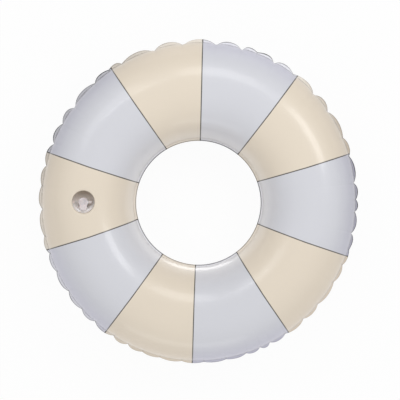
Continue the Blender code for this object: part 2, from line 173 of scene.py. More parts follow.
def newPiece(name, points, quads, material, closed=True, sharp=None, **held):
    # A mesh from points (n, 3) and quads (m, 4); doubles are merged, which closes seams and poles. Each
    # array in held becomes a number at each point, which the material can read.
    mesh = bpy.data.meshes.new(name)
    mesh.from_pydata(points.reshape(-1, 3).tolist(), [], quads.tolist())
    for key, values in held.items():
        layer = mesh.attributes.new(key, "FLOAT", "POINT")
        layer.data.foreach_set("value", values.ravel().astype(np.float32))
    bm = bmesh.new()
    bm.from_mesh(mesh)
    bmesh.ops.remove_doubles(bm, verts=bm.verts, dist=0.000002)
    if closed:
        bmesh.ops.recalc_face_normals(bm, faces=bm.faces)
    bm.to_mesh(mesh)
    bm.free()
    mesh.shade_smooth()
    if sharp:
        mesh.set_sharp_from_angle(angle=radians(sharp))
    mesh.materials.append(material)
    piece = bpy.data.objects.new(name, mesh)
    bpy.context.scene.collection.objects.link(piece)
    return piece


def bearings(steps):       # evenly spaced angles once round
    return np.arange(steps) * 2 * pi / steps


def aboutAxis(radius, angle, height):       # points (r cos a, r sin a, h)
    places = np.broadcast_arrays(radius * np.cos(angle), radius * np.sin(angle), height)
    return np.stack(places, axis=-1)


def smooth(value):       # smoothstep: 3t^2 - 2t^3 of the value held between 0 and 1
    t = np.clip(value, 0, 1)
    return t * t * (3 - 2 * t)


ring = {
    "outerRadius": 0.2500, "outerWeld": 0.0045,
    "holeRadius": 0.0962, "innerWeld": 0.0030,
    "film": 0.0003, "weldGap": 0.0003,
    "sectionPower": 1.4,                     # 1 is a round tube, 2 the flattest one
    "footFlat": 0.0005,                      # how far the underside is pressed flat
    "pleats": (                              # where the edge is gathered, in degrees, and how deep in mm
        (1, 3.9), (7, 6.3), (17, 5.1), (24, 4.6), (35, 6.9), (43, 8.3), (53.5, 5.3), (61.5, 8.4),
        (68.5, 3.1), (74, 8.7), (83.5, 8.1), (95.5, 7.9), (106.5, 8.7), (119, 5.8), (124, 2.5), (131, 5.4),
        (142.5, 8.6), (150, 5.5), (158, 6.7), (166.5, 5.4), (174, 3.2), (182.5, 5.6), (192.5, 3.3),
        (199, 4.3), (206, 3.7), (214.5, 5.4), (222.5, 4.2), (229, 5.4), (237.5, 5.1), (243.5, 5.1),
        (249.5, 2.6), (256, 2.4), (264, 2.8), (272, 2.2), (280, 2.5), (287.5, 4.0), (293, 5.4), (297, 5.6),
        (303.5, 4.6), (312, 5.5), (319.5, 4.8), (329.5, 4.3), (336.5, 4.1), (342.5, 2.3), (348.5, 6.3),
        (356.5, 5.3)),
    "foldShare": 0.6,                        # share of a notch that is band folded away, not film drawn in
    "foldMost": 0.9, "foldPower": 2.5,       # most of the band that folds, and how near to the pleat
    "pucker": 0.012, "puckerShare": 0.74,    # the short part of a pleat fades in this distance
    "creaseShort": 0.016, "creaseLong": 0.044,   # the long part does in a distance between these two
    "sharpWithin": 0.022,                    # a pucker is drawn together to a crease in this distance
    "lean": 0.9,                             # degrees that creases wander from straight lines
    "leanFrom": 0.030, "leanUntil": 0.060,   # about where they start to wander, and cease to
    "ripple": 0.0012, "rippleFade": 0.014,   # lobes of the edge stand up and down by turns
    "wrinkle": 0.00022, "wrinkleFade": 0.010,    # and three small waves cross each lobe
    "bendMost": 46.0, "bendTowards": 315.0,  # degrees that the welded edge bends back at most, and where
    "edgeShape": (0.25, 0.49, 1.1, -1.8, 0.8),   # mm that the edge strays from a circle: see outOfRound
    "holeShape": (0.3, 0.0, -0.9, 0.25, 0.0),    # the same for the hole
    "trueNear": 0.030, "trueOver": 0.040,    # this near the valve it strays by nothing, then more and more
    "creaseSharp": 12, "creaseFade": 0.010, "creaseFull": 0.004,     # the shade in the folds of the band
    "stepsPerLobe": 16,
    "pleatRows": 22, "tubeRows": 34, "pleatReach": 0.052,
}


def tubeSection():
    # Half of the tube's outline, from the outer weld over the crest to the inner weld. Air pressure on
    # a limp film sets the sine of its slope to (r^n - crest^n) / (outer^n - crest^n). The crest radius
    # is halved in until the film comes down exactly onto the inner weld.
    power = ring["sectionPower"]
    outer = ring["outerRadius"] - ring["outerWeld"]
    inner = ring["holeRadius"] + ring["innerWeld"]
    low, high = inner, outer
    for _ in range(50):
        crest = (low + high) / 2
        spread = outer**power - crest**power
        steepest = max(-1.0, (inner**power - crest**power) / spread)
        slope = np.linspace(pi / 2, np.arcsin(steepest), 600)
        radius = (crest**power + spread * np.sin(slope)) ** (1 / power)
        perTurn = spread / (power * radius ** (power - 1))
        turn = -np.diff(slope)
        climb = np.sin(slope) * perTurn
        height = np.concatenate([[0], np.cumsum((climb[1:] + climb[:-1]) / 2 * turn)])
        low, high = (low, crest) if height[-1] < 0 else (crest, high)
    length = np.concatenate([[0], np.cumsum((perTurn[1:] + perTurn[:-1]) / 2 * turn)])
    return {"length": length, "radius": radius, "height": height, "slope": slope}


section = tubeSection()
filmLength = float(section["length"][-1])
crestAlong = float(np.interp(0, -section["slope"], section["length"]))
crestRadius = float(np.interp(crestAlong, section["length"], section["radius"]))
faceOffset = ring["weldGap"] / 2 + ring["film"]       # a film's outer face above the middle of the welds
crestHeight = float(section["height"].max()) + faceOffset
middle = crestHeight - ring["footFlat"]               # height of the welds above the floor

valve = {
    "flangeRadius": 0.0260, "flangeMargin": 0.0004,
    "pocketRadius": 0.0168, "lipRadius": 0.0055, "lipTurn": radians(80),
    "shadeDeep": 0.003, "shadePast": 0.0012,     # the lip's shade: full at this depth, ends past the pocket
    "weldRing": 0.0238, "weldWidth": 0.0010, "weldSunk": 0.00010,    # the mark of the base's weld
    "windowHalf": 0.0340,                    # half width of the part of the grid that makes way
    "patchRows": 7, "flatRows": 6, "lipRows": 12,
}
mouth = np.array([-crestRadius, 0.0, middle + crestHeight])       # on the crest, over the valve's axis


def pleatPull(along, angle):
    # How the film is gathered. Across a lobe, u goes from 0 to 1, and out = |2u - 1| is 1 at a pleat.
    # The film is drawn in by out^p, where p grows away from the weld, so that a pucker narrows to a
    # crease, and the band folds away by out^foldPower. Each pleat has its own depth and length.
    edges, depths = np.array(ring["pleats"], dtype=float).T
    widths = np.diff(edges, append=edges[0] + 360)
    chance = (np.arange(len(edges)) * 0.618034 + 0.31) % 1
    reaches = ring["creaseShort"] + chance * (ring["creaseLong"] - ring["creaseShort"])
    inside = np.maximum(along, 0)
    turn = np.radians(angle)
    wander = np.sin(7 * turn + 0.6) + 0.7 * np.sin(13 * turn + 2.1) + 0.5 * np.sin(19 * turn + 4.0)
    begun, left = 1 - np.exp(-inside / ring["leanFrom"]), np.exp(-inside / ring["leanUntil"])
    angle = angle + ring["lean"] * wander * begun * left
    angle = (angle - edges[0]) % 360 + edges[0]
    lobe = np.searchsorted(edges, angle, side="right") - 1
    u = (angle - edges[lobe]) / widths[lobe]
    depth = 0.001 * ((1 - u) * depths[lobe] + u * np.roll(depths, -1)[lobe])
    reach = (1 - u) * reaches[lobe] + u * np.roll(reaches, -1)[lobe]
    out = np.abs(2 * u - 1)
    power = 2 + 5 * (1 - np.exp(-inside / ring["sharpWithin"]))
    fade = ring["puckerShare"] * np.exp(-inside / ring["pucker"])
    fade = fade + (1 - ring["puckerShare"]) * np.exp(-inside / reach)
    folded = np.minimum(depth * ring["foldShare"], ring["outerWeld"] * ring["foldMost"])
    return (depth - folded) * fade * out**power, folded * out ** ring["foldPower"], u, lobe


def outOfRound(along, radius, turn):
    # How far the film strays from a true circle, outward: a + b cos t + c sin t + d cos 2t + e sin 2t, with
    # the five numbers of the edge and of the hole mixed along the film. It dies out towards the valve.
    share = smooth(along / filmLength)
    waves = np.stack([0 * turn + 1, np.cos(turn), np.sin(turn), np.cos(2 * turn), np.sin(2 * turn)])
    edge, hole = (np.tensordot(ring[key], waves, 1) * 0.001 for key in ("edgeShape", "holeShape"))
    away = np.hypot(radius * np.cos(turn) + crestRadius, radius * np.sin(turn))
    return ((1 - share) * edge + share * hole) * smooth((away - ring["trueNear"]) / ring["trueOver"])


def filmPoints(along, angle, side):
    # Points of a film's outer face, (n, 3). along is the distance from the outer weld on the section:
    # below 0 it is on the outer welded band, and past the film's length on the inner one. The pull
    # acts against the section's outward direction, and the lobes ripple by turns up and down.
    along, angle = np.broadcast_arrays(np.asarray(along, float), np.asarray(angle, float))
    pull, folded, u, lobe = pleatPull(along, angle)
    beyond = along - np.clip(along, 0, filmLength)
    beyond = np.where(beyond < 0, beyond * (1 - folded / ring["outerWeld"]), beyond)
    slope = np.interp(along, section["length"], section["slope"])
    radius = np.interp(along, section["length"], section["radius"]) - beyond - pull * np.sin(slope)
    height = np.interp(along, section["length"], section["height"]) + faceOffset - pull * np.cos(slope)
    near = np.exp(-np.maximum(along, 0) / ring["rippleFade"])
    small = np.sin(6 * pi * u + lobe) * np.sin(pi * u) ** 2 * np.exp(-np.abs(along) / ring["wrinkleFade"])
    if side < 0:
        height = np.minimum(height, crestHeight - ring["footFlat"])
    ripple = np.sin(pi * u) * (-1.0) ** lobe * ring["ripple"] * near
    height = middle + side * height + ripple + ring["wrinkle"] * small
    turn = np.radians(angle)
    bend = radians(ring["bendMost"]) * (0.5 + 0.5 * np.cos(turn - radians(ring["bendTowards"])))
    edge = np.maximum(-beyond, 0)
    radius = radius - edge * (1 - np.cos(bend)) + outOfRound(along, radius, turn)
    height = height - edge * np.sin(bend)
    return aboutAxis(radius, turn, height)


def tubeFall(radius, bearing):
    # How far the tube's face lies below its crest, at a radius and a bearing round the valve's axis.
    away = np.hypot(crestRadius - radius * np.cos(bearing), radius * np.sin(bearing))
    return np.interp(-away, -section["radius"], section["height"]) - section["height"].max()


def lipRows(inset, steps):
    # Section of the lip at an inset below the film's outer face: radius, height, the radius of the
    # film's face over it, and how far it follows the tube's fall, from 1 at its start to 0 at its end.
    share = np.linspace(0, 1, steps)
    out, up = np.sin(valve["lipTurn"] * share), np.cos(valve["lipTurn"] * share)
    centre = valve["pocketRadius"] + valve["lipRadius"] * sin(valve["lipTurn"])
    reach = valve["lipRadius"] - inset
    return np.stack([centre - reach * out, reach * up - valve["lipRadius"],
                     centre - valve["lipRadius"] * out, 1 - smooth(share)], axis=1)


def draped(rows, bearing):
    # Rows of radius, height, radius over it and share, carried round the valve's axis along the
    # tube's own fall: (r cos b, r sin b, h + share fall(over, b)).
    radius, height, over, share = (column[:, None] for column in rows.T)
    drop = share * tubeFall(over, bearing[None, :])
    return aboutAxis(radius, bearing, height + drop) + mouth


def lobeAngles():
    # Angles with the same number of steps in every lobe, closer together towards the pleats.
    edges = np.array([angle for angle, _ in ring["pleats"]] + [ring["pleats"][0][0] + 360.0])
    share = np.arange(ring["stepsPerLobe"]) / ring["stepsPerLobe"]
    share = 0.5 * share + 0.25 * (1 - np.cos(pi * share))
    return (edges[:-1, None] + share[None, :] * np.diff(edges)[:, None]).ravel()


def filmRows():
    # Distances of the rows along the section, close together where the film is gathered or welded.
    gathered = np.linspace(0, 1, ring["pleatRows"]) ** 1.5 * ring["pleatReach"]
    rest = np.linspace(ring["pleatReach"], filmLength, ring["tubeRows"])[1:]
    outerBand = np.array([-1.0, -0.94, -0.7, -0.4, -0.15, -0.04]) * ring["outerWeld"]
    innerBand = filmLength + np.array([0.08, 0.5, 0.9, 1.0]) * ring["innerWeld"]
    return np.concatenate([outerBand, gathered, rest, innerBand])


def valvePatch(rows, angles):
    # Fills the window in the front film. Its first ring is the window's own edge; the next ones draw
    # in to a circle round the flange, in distance and angle; then come the weld's mark and the lip.
    rowIn = np.flatnonzero(np.abs(rows - crestAlong) < valve["windowHalf"])
    columnIn = np.flatnonzero(np.abs(angles - 180) < np.degrees(valve["windowHalf"] / crestRadius))
    r0, r1, c0, c1 = rowIn[0], rowIn[-1], columnIn[0], columnIn[-1]
    tall, wide = r1 - r0, c1 - c0
    rowPath = np.concatenate(
        [np.full(wide, r0), np.arange(r0, r1), np.full(wide, r1), np.arange(r1, r0, -1)])
    columnPath = np.concatenate(
        [np.arange(c0, c1), np.full(tall, c1), np.arange(c1, c0, -1), np.full(tall, c0)])
    edgeAlong, edgeAngle = rows[rowPath], angles[columnPath]
    edge = filmPoints(edgeAlong, edgeAngle, 1) - mouth
    bearing = np.arctan2(edge[:, 1], edge[:, 0])
    circle = valve["flangeRadius"] + valve["flangeMargin"]
    x = mouth[0] + circle * np.cos(bearing)
    y = circle * np.sin(bearing)
    circleAlong = np.interp(-np.hypot(x, y), -section["radius"], section["length"])
    circleAngle = np.degrees(np.arctan2(y, x)) % 360
    share = np.linspace(0, 1, valve["patchRows"])[:, None]
    along = (1 - share) * edgeAlong + share * circleAlong
    angle = (1 - share) * edgeAngle + share * circleAngle
    lip = lipRows(0, valve["lipRows"])
    flat = np.linspace(circle, lip[0, 0], valve["flatRows"] + 1)[1:-1]
    mark = np.exp(-((flat - valve["weldRing"]) / valve["weldWidth"]) ** 2) * valve["weldSunk"]
    inner = np.concatenate([np.stack([flat, -mark, flat, 0 * flat + 1], axis=1), lip])
    points = np.concatenate([filmPoints(along, angle, 1), draped(inner, bearing)])
    held = [np.vstack([each, np.tile(last, (len(inner), 1))])
            for each, last in ((along, circleAlong), (angle, circleAngle))]
    return points, held, (r0, r1, c0, c1)


def makeFilm(name, side, material):
    rows, angles = filmRows(), lobeAngles()
    along, angle = np.meshgrid(rows, angles, indexing="ij")
    points = filmPoints(along, angle, side)
    quads = quadsBetween(len(rows), len(angles), flipped=side < 0)
    if side > 0:
        patch, patchHeld, (r0, r1, c0, c1) = valvePatch(rows, angles)
        row, column = np.divmod(np.arange(len(quads)), len(angles))
        keep = (row < r0) | (row >= r1) | (column < c0) | (column >= c1)
        patchQuads = quadsBetween(len(patch), patch.shape[1]) + points.shape[0] * points.shape[1]
        points = np.concatenate([points.reshape(-1, 3), patch.reshape(-1, 3)])
        along = np.concatenate([along.ravel(), patchHeld[0].ravel()])
        angle = np.concatenate([angle.ravel(), patchHeld[1].ravel()])
        quads = np.concatenate([quads[keep], patchQuads])
    _, folded, u, _ = pleatPull(along, angle)
    # painted shade in the folds of the band at each pleat
    fade = np.exp(-np.maximum(along, 0) / ring["creaseFade"])
    crease = np.abs(2 * u - 1) ** ring["creaseSharp"] * fade * folded / ring["creaseFull"]
    if side > 0:       # painted shade on the lip, towards +Y, growing where it dips into the pocket
        x, y, z = (points - mouth).T
        away = np.hypot(x, y)
        lip = smooth(-z / valve["shadeDeep"]) * (away < valve["pocketRadius"] + valve["shadePast"])
        crease = crease + lip * (0.5 + 0.5 * y / away) ** 1.5
    piece = newPiece(name, points, quads, material, closed=False, along=along,
                     crease=crease, drift=printDrift(along, angle))
    strays = bmesh.new()       # points that the window leaves without a face
    strays.from_mesh(piece.data)
    bmesh.ops.delete(strays, geom=[v for v in strays.verts if not v.link_faces], context="VERTS")
    strays.to_mesh(piece.data)
    strays.free()
    wall = piece.modifiers.new("film thickness", "SOLIDIFY")
    wall.thickness = ring["film"]
    wall.offset = -1
    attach(piece, "ring")
    print(name, len(piece.data.polygons), "faces on its outer side")
    return piece


printed = {
    "fieldTurn": 16.9,                       # where the first cream field starts, in degrees
    "drift": (                               # how far each line strays: mm at the hole, the crest, the edge
        (4.0, 2.3, 3.9), (-4.3, -5.4, -4.5), (-1.1, -1.6, -1.9), (-7.0, -6.6, -7.9), (2.0, 4.2, 3.3),
        (-1.9, 2.8, 2.5), (4.5, 6.7, 6.5), (-2.5, -4.0, -4.7), (4.2, 0.0, -0.8), (-1.7, -4.5, -3.7)),
    "lavender": (212, 213, 219), "cream": (228, 216, 198), "line": (34, 30, 24),
    "flankShadeLavender": (186, 185, 204), "flankShadeCream": (222, 207, 187),   # painted shade on the outer flank
    "flankShadeReach": 0.070,                      # how far from the outer weld the painted shade reaches
    "holeLightLavender": (226, 225, 228), "holeLightCream": (236, 226, 212),   # painted light on the hole's side
    "holeLightReach": 0.060,                      # how far from the hole the painted light reaches
    "lineHalf": 0.00082, "lineShare": 0.92,  # half width of a printed line, and how well it covers
    "bandLavender": (238, 238, 244), "bandCream": (240, 234, 224),   # the welded bands
    "bandFade": (0.35, 0.80), "bandFaded": 0.85,    # the outer band's paleness goes where it bends back
    "innerBand": 0.5,
    "shadeLavender": (40, 38, 46), "shadeCream": (128, 114, 98),       # colour of the painted shade at cut edges, folds, the groove and the gathered film
    "cutOuter": (0.0009, 0.0017), "cutInner": (0.0016, 0.0010),      # where a cut edge's painted dark line fades
    "cutPatches": 0.6, "innerShare": 0.8, "creaseShare": 0.8,
    "edgeLitTowards": 285, "edgeLitFade": (0.60, 0.95), "edgeLitShare": 0.75,  # painted light: the outer cut edge's dark line is weakest round here
    "weldGroove": (-0.0001, 0.0013, 0.0006), "weldShade": 0.30,        # painted shade in the groove along the outer weld
    # painted shade on the film just inside the outer weld, in patches, more round the two bearings below
    "tuckFade": (0.008, 0.020), "tuckShade": 0.18, "tuckPatches": 0.20, "tuckSideShade": 0.12,
    "sideShadeTowards": (143, 14),               # bearings round which the edge gets painted shade
    "sideShadeAround": (0.73, 0.98), "sideShadeFade": (-0.002, 0.070), "sideShadeStrength": 0.27,
    "roughness": 0.34, "coat": 0.40, "coatRoughness": 0.12,
}


def printDrift(along, angle):
    # The angle in radians by which the print strays at each point: the drift in mm is drawn between
    # its three values along the film and between neighbouring lines round it, and divided by the radius.
    table = np.array(printed["drift"]) * 0.001
    radius = np.interp(along, section["length"], section["radius"])
    places = [0, crestAlong, filmLength]
    field = ((angle - printed["fieldTurn"]) % 360) / 36
    line = np.floor(field).astype(int) % 10
    share = smooth(field - np.floor(field))
    columns = [np.interp(along, places, row[::-1]) for row in table]
    drift = np.choose(line, columns) * (1 - share) + np.choose((line + 1) % 10, columns) * share
    return drift / radius


def printedVinyl(name):
    # Fields and lines follow the angle round the ring. The welded bands are painted paler for the light
    # that comes through them. Painted shade darkens the cut edges, the pleats, the weld's groove, the film
    # by the outer weld and the outer flank; painted light brightens the film towards the hole.
    recipe = Recipe(name, printed["roughness"])
    x, y, _ = recipe.split(recipe.place())
    radius = recipe.node("ShaderNodeVectorMath", {"operation": "LENGTH"},
                         {0: recipe.node("ShaderNodeCombineXYZ", {}, {0: x, 1: y})}, "Value")
    turn = recipe.node("ShaderNodeMath", {"operation": "ARCTAN2"}, {0: y, 1: x})
    field = (turn - recipe.along("drift") - radians(printed["fieldTurn"])) / radians(36)
    lavender = (field % 2) > 1
    toLine = abs((field + 0.5) % 1 - 0.5) * radians(36) * radius
    wobble = (recipe.noise(60, 2) - 0.5) * 0.0002
    line = 1 - (toLine + wobble).step(printed["lineHalf"] * 0.7, printed["lineHalf"] * 1.3)
    along = recipe.along("along")
    # the welded bands are painted paler for light that comes through them, less where the outer one bends
    # back
    bent = (turn - radians(ring["bendTowards"])).cosine() * 0.5 + 0.5
    bentBack = bent.step(*printed["bandFade"]) * printed["bandFaded"]
    outerBand = (1 - along.step(-0.0003, 0.0003)) * (1 - bentBack)
    innerBand = along.step(filmLength - 0.0002, filmLength + 0.0006) * printed["innerBand"]
    band = outerBand + innerBand
    # painted shade along the cut edges, less where the outer edge's painted light falls
    patchy = recipe.noise(11, 2).step(0.36, 0.58) * printed["cutPatches"] + (1 - printed["cutPatches"])
    edgeLit = (turn - radians(printed["edgeLitTowards"])).cosine() * 0.5 + 0.5
    edgeShadeLeft = 1 - edgeLit.step(*printed["edgeLitFade"]) * printed["edgeLitShare"]
    cut = (1 - along.step(*(edge - ring["outerWeld"] for edge in printed["cutOuter"]))) * patchy
    cut = cut * edgeShadeLeft * (lavender * 0.5 + 0.5)
    cutInner = along.step(*(filmLength + ring["innerWeld"] - edge for edge in printed["cutInner"]))
    # painted shade in the groove along the outer weld
    weldGrooveShade = along.band(*printed["weldGroove"]) * printed["weldShade"] * edgeShadeLeft
    # painted shade near the edge round two bearings
    towards = [(turn - radians(bearing)).cosine() for bearing in printed["sideShadeTowards"]]
    gathered = sum(facing.step(*printed["sideShadeAround"]) for facing in towards)
    # painted shade on the film just inside the outer weld
    patches = recipe.noise(8, 2).step(0.38, 0.60) * printed["tuckPatches"] + printed["tuckShade"]
    paintedTuckShade = (1 - along.step(*printed["tuckFade"])) * along.step(0.0, 0.0008)
    paintedTuckShade = paintedTuckShade * (patches + gathered * printed["tuckSideShade"])
    paintedSideShade = gathered * (1 - along.step(*printed["sideShadeFade"])) * printed["sideShadeStrength"]
    shade = cut + cutInner * printed["innerShare"] + weldGrooveShade + paintedTuckShade + paintedSideShade
    # painted shade of the pleats' folds and of the pocket's lip
    shade = shade + recipe.along("crease") * printed["creaseShare"]
    body = recipe.mix(lavender, ink(*printed["cream"]), ink(*printed["lavender"]))
    welded = recipe.mix(lavender, ink(*printed["bandCream"]), ink(*printed["bandLavender"]))
    dark = recipe.mix(lavender, ink(*printed["shadeCream"]), ink(*printed["shadeLavender"]))
    # painted shade on the outer flank, fading away from the outer weld
    deep = recipe.mix(lavender, ink(*printed["flankShadeCream"]), ink(*printed["flankShadeLavender"]))
    body = recipe.mix(1 - along.step(-0.004, printed["flankShadeReach"]), body, deep)
    # painted light on the film towards the hole
    holeLight = recipe.mix(lavender, ink(*printed["holeLightCream"]), ink(*printed["holeLightLavender"]))
    body = recipe.mix(along.step(filmLength - printed["holeLightReach"], filmLength), body, holeLight)
    colour = recipe.mix(band, body, welded)
    colour = recipe.mix(shade, colour, dark)
    colour = recipe.mix(line * printed["lineShare"], colour, ink(*printed["line"]))
    clouds = recipe.noise(9, 3, 0.55)
    colour = recipe.node("ShaderNodeMix", {"data_type": "RGBA", "blend_type": "MULTIPLY"},
                         {0: (clouds - 0.5) * 0.20 + 0.05, 6: colour, 7: ink(226, 224, 228)}, 2)
    speckle = recipe.noise(900, 2, 0.6)
    skin = recipe.noise(240, 3, 0.6)
    roughness = printed["roughness"] + (clouds - 0.5) * 0.10 + band * 0.06 + (speckle - 0.5) * 0.04
    height = skin * 0.5 + speckle * 0.25 + band * (recipe.noise(420, 1) * 0.8)
    recipe.set(Base_Color=colour, Roughness=roughness, Normal=recipe.bump(height, 0.00006, 0.8),
               IOR=1.53, Coat_Weight=printed["coat"], Coat_Roughness=printed["coatRoughness"])
    return recipe.material


frontFilm = makeFilm("frontFilmPrinted", 1, printedVinyl("front film print"))
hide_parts("front_film")
backFilm = makeFilm("backFilmPrinted", -1, printedVinyl("back film print"))
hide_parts("back_film")


moulded = {
    "steps": 96, "plugSteps": 240,           # points in each row round the valve's axis
    "flangeRadius": 0.0260, "baseWall": 0.0008, "baseTail": 0.0020,
    "skirtWall": 0.0006, "skirtDepth": 0.0075, "skirtRibs": 5, "ribHeight": 0.00010,
    "skirtLean": 1.15, "skirtSteep": 90,     # how unevenly it is pushed in, and its steep side's bearing
    "skirtArch": 0.0034, "skirtTuck": 0.0002,    # how far it arches opposite, and how far its ends reach
    "stemRadius": 0.0056, "stemBore": 0.0035, "stemSunk": 0.0048,
    "rimOverhang": 0.0008, "rimHeight": 0.0014,
    "rootRadius": 0.0076, "rootHeight": 0.0014, "stemFoot": 0.0045,
    "flapThickness": 0.0005, "flapLap": 0.0014, "flapDome": 0.00010, "flapEdge": 0.00012,
    "headRadius": 0.0073, "headHeight": 0.0018, "headDish": 0.0004, "headCorner": 0.00055,
    "pinLength": 0.0080, "pinWall": 0.0009, "pinTaper": 0.0005, "pinClearance": 0.0003,
    "tabWidth": 0.0116, "tabReach": 0.0058, "tabHeight": 0.0009, "tabBlend": 0.0012,
    "strapWidth": 0.0040, "strapThickness": 0.0011, "strapBend": 0.0032, "strapStraight": 0.0022,
    "strapSunk": (0.0003, 0.0002),           # how far the strap's ends reach into the stem and the head
    "seatGap": 0.0003, "softEdge": 0.0004,
}


def milkyVinyl(name, tint, roughness=0.36, inward=None):
    # Soft moulded vinyl: a cloudy tint with a fine skin from the mould. Where a shade tint is given,
    # the piece turns to it by its attribute of painted shade, where the pocket's wall lies in shadow.
    recipe = Recipe(name, roughness)
    clouds = recipe.noise(160, 3, 0.55)
    grain = recipe.noise(1500, 2, 0.6)
    dark = ink(*[c * 0.93 for c in tint])
    light = ink(*[min(255, c * 1.03) for c in tint])
    colour = recipe.mix(clouds.step(0.30, 0.70), dark, light)
    if inward:
        colour = recipe.mix(recipe.along("inward"), colour, ink(*inward))
    recipe.set(Base_Color=colour, Roughness=roughness + (clouds - 0.5) * 0.12,
               Normal=recipe.bump(grain * 0.4 + clouds, 0.00008, 0.6), IOR=1.53)
    recipe.set(Subsurface_Weight=0.30, Subsurface_Radius=(0.004, 0.0032, 0.0028), Subsurface_Scale=0.8)
    return recipe.material


def softened(outline, cut, steps=5, closed=True):
    # Rounds the corners of an outline (n, 2). A corner c becomes a parabola between the points a and b
    # at the cut distance from it on its two sides: (1-t)^2 a + 2t(1-t) c + t^2 b.
    outline = np.asarray(outline, float)
    before, after = np.roll(outline, 1, axis=0) - outline, np.roll(outline, -1, axis=0) - outline
    lengthBefore = np.linalg.norm(before, axis=1, keepdims=True)
    lengthAfter = np.linalg.norm(after, axis=1, keepdims=True)
    a = outline + before * np.minimum(cut / lengthBefore, 0.45)
    b = outline + after * np.minimum(cut / lengthAfter, 0.45)
    t = np.linspace(0, 1, steps)[None, :, None]
    rounded = (1 - t) ** 2 * a[:, None] + 2 * t * (1 - t) * outline[:, None] + t**2 * b[:, None]
    if closed:
        return rounded.reshape(-1, 2)
    return np.concatenate([outline[:1], rounded[1:-1].reshape(-1, 2), outline[-1:]])


def turned(name, outline, material, closed=True, sharp=None):
    # An outline of radius and height turned round the valve's axis: (r cos a, r sin a, h).
    outline = np.asarray(outline, float)
    if closed:
        outline = np.concatenate([outline, outline[:1]])
    points = aboutAxis(outline[:, :1], bearings(moulded["steps"]), outline[:, 1:])
    return newPiece(name, points + mouth, quadsBetween(*points.shape[:2]), material, sharp=sharp)


near = ring["film"] + moulded["seatGap"]
far = near + moulded["baseWall"]
tail = np.array([-cos(valve["lipTurn"]), -sin(valve["lipTurn"]), 0, 0]) * moulded["baseTail"]
tailEnd = (lipRows(near + moulded["baseWall"] / 2, 2)[-1] + tail)[:2]
rootHeight = tailEnd[1] - moulded["seatGap"] - moulded["skirtDepth"]
stemTop = -moulded["stemSunk"]
headFoot = stemTop + moulded["seatGap"]

# the skirt's third tint is the colour of its painted shade
baseTint, skirtTint, skirtShadeTint = (242, 236, 229), (243, 234, 231), (172, 155, 137)
stemTint, plugTint, strapTint = (206, 197, 192), (214, 205, 206), (196, 187, 184)


def makeBase():
    # The flange and the lip follow the film from inside, one wall thick, and end in a straight tail.
    flange = np.linspace(moulded["flangeRadius"], lipRows(0, 2)[0, 0], 5)[:-1]
    faces = []
    for inset in (far, near):
        lip = lipRows(inset, 14)
        rim = np.stack([flange, 0 * flange - inset, flange, 0 * flange + 1], axis=1)
        faces.append(np.concatenate([rim, lip, lip[-1:] + tail]))
    rows = np.concatenate([faces[0], faces[1][::-1], faces[0][:1]])
    bearing = bearings(moulded["steps"])
    quads = quadsBetween(len(rows), len(bearing))
    vinyl = milkyVinyl("base vinyl", baseTint)
    piece = newPiece("valveBaseMoulded", draped(rows, bearing), quads, vinyl, sharp=35)
    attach(piece, "ring")
    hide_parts("valve_base")


def steepShare(bearing):
    # 1 on the side where the skirt is pushed in steeply, 0 on the other.
    return 0.5 + 0.5 * np.cos(bearing - radians(moulded["skirtSteep"]))


def makeSkirt():
    # A web rolled in from the base down to the root ring, a quarter of a superellipse whose middle is
    # (foot + wide cos^(2/p) t, top - deep sin^(2/p) t). A thumb pushes it in unevenly: round the valve
    # p swings from 2 - lean to 2 + lean, and where it is shallow it arches by sin^2 2t. The steep side
    # is painted darker, as shade, most up by the rim. The faces lie half a wall to either side, with
    # shallow ribs.
    m = moulded
    foot = m["rootRadius"] - m["skirtTuck"]
    top = tailEnd[1] + m["skirtTuck"]
    wide, deep = tailEnd[0] - foot, top - rootHeight
    bearing = bearings(m["steps"])
    steep = steepShare(bearing)[None, :]
    power = 2 + m["skirtLean"] * (2 * steep - 1)
    t = np.linspace(0, pi / 2, 49)[:, None]
    radius = foot + wide * np.maximum(np.cos(t), 0) ** (2 / power)
    height = top - deep * np.sin(t) ** (2 / power) + m["skirtArch"] * (1 - steep) * np.sin(2 * t) ** 2
    outR, outZ = -np.gradient(height, axis=0), np.gradient(radius, axis=0)
    length = np.hypot(outR, outZ)
    # painted shade on the steep side of the pocket, strongest up by the rim
    inward = steep**1.5 * (0.6 + 0.4 * (radius - foot) / wide)
    rib = m["ribHeight"] * (0.5 - 0.5 * np.cos(4 * m["skirtRibs"] * t)) * np.sin(2 * t)
    inner, outer = (m["skirtWall"] / 2 + rib) / length, m["skirtWall"] / 2 / length
    face = np.stack([radius + outR * outer, height + outZ * outer])
    back = np.stack([radius - outR * inner, height - outZ * inner])
    radius, height = np.concatenate([face, back[:, ::-1], face[:, :1]], axis=1)
    inward = np.concatenate([inward, inward[::-1], inward[:1]])
    points = aboutAxis(radius, bearing, height)
    vinyl = milkyVinyl("skirt vinyl", skirtTint, inward=skirtShadeTint)
    quads = quadsBetween(*radius.shape)
    piece = newPiece("valveSkirtRolled", points + mouth, quads, vinyl, sharp=50, inward=inward)
    at, high, low = (float(mouth[0]), 0.0), float(mouth[2] + top), float(mouth[2] + rootHeight)
    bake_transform(piece)
    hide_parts("valve_skirt")


